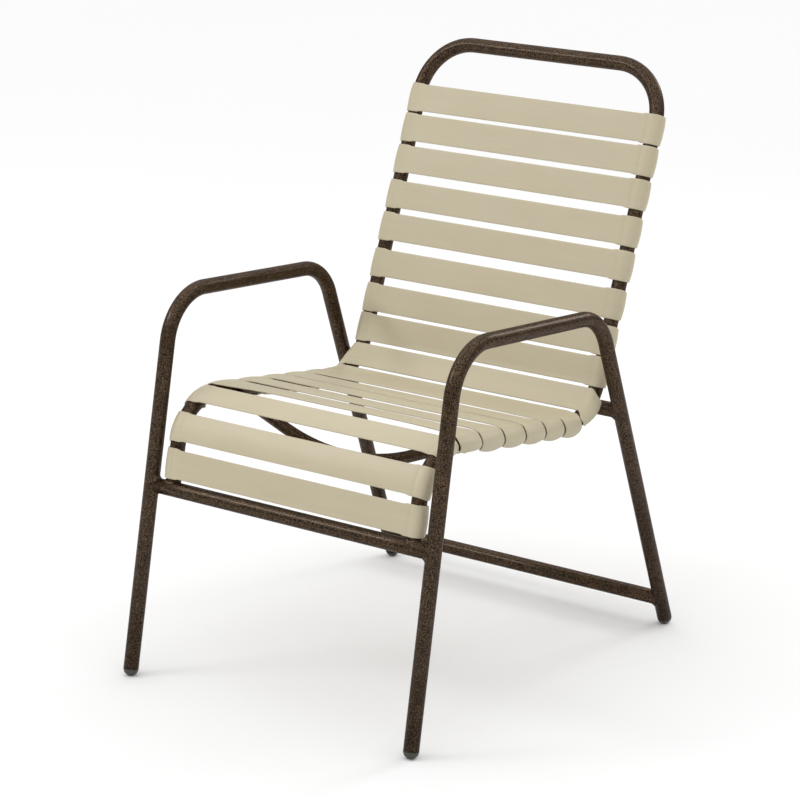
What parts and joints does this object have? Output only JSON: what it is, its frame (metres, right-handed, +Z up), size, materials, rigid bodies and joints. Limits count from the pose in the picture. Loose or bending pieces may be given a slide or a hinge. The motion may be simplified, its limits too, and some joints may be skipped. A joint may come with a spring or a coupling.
{
  "type": "patio chair",
  "caption": "Patio dining armchair: a welded frame of bent round tube with loop arms, and flat vinyl straps wrapped round the rails of the seat and back.",
  "frame": {"origin": "on the floor, under the middle of the chair's outline", "axes": "+Z up, +Y from the front of the chair to its back, +X to the right of someone who stands in front and faces the chair"},
  "size_m": [0.6144, 0.8058, 0.9828],
  "materials": {
    "bronze_powder_coat": "dark bronze powder coat with a fine mottled texture, over aluminium tube",
    "beige_vinyl": "smooth beige vinyl with a low sheen; the push rivets match it",
    "grey_nylon": "dark grey-green moulded plastic"
  },
  "bodies": {
    "root": {"side_frame_left": "bronze_powder_coat", "side_frame_right": "bronze_powder_coat", "seat_back_frame": "bronze_powder_coat", "front_crossbar": "bronze_powder_coat", "rear_crossbar": "bronze_powder_coat", "rear_seat_bar": "bronze_powder_coat", "seat_brace": "bronze_powder_coat", "weld_front_crossbar_left": "bronze_powder_coat", "weld_front_crossbar_right": "bronze_powder_coat", "weld_rear_crossbar_left": "bronze_powder_coat", "weld_rear_crossbar_right": "bronze_powder_coat", "weld_rear_seat_bar_left": "bronze_powder_coat", "weld_rear_seat_bar_right": "bronze_powder_coat", "weld_rail_foot_left": "bronze_powder_coat", "weld_rail_foot_right": "bronze_powder_coat", "weld_rail_bend_left": "bronze_powder_coat", "weld_rail_bend_right": "bronze_powder_coat", "weld_seat_brace_left": "bronze_powder_coat", "weld_seat_brace_right": "bronze_powder_coat", "front_foot_plug_left": "grey_nylon", "front_foot_plug_right": "grey_nylon", "rear_foot_plug_left": "grey_nylon", "rear_foot_plug_right": "grey_nylon", "strap_01": "beige_vinyl", "strap_02": "beige_vinyl", "strap_03": "beige_vinyl", "strap_04": "beige_vinyl", "strap_05": "beige_vinyl", "strap_06": "beige_vinyl", "strap_07": "beige_vinyl", "strap_08": "beige_vinyl", "strap_09": "beige_vinyl", "strap_10": "beige_vinyl", "strap_11": "beige_vinyl", "strap_12": "beige_vinyl", "strap_13": "beige_vinyl", "strap_14": "beige_vinyl", "strap_15": "beige_vinyl", "strap_16": "beige_vinyl", "strap_17": "beige_vinyl", "strap_18": "beige_vinyl"}
  },
  "joints": []
}
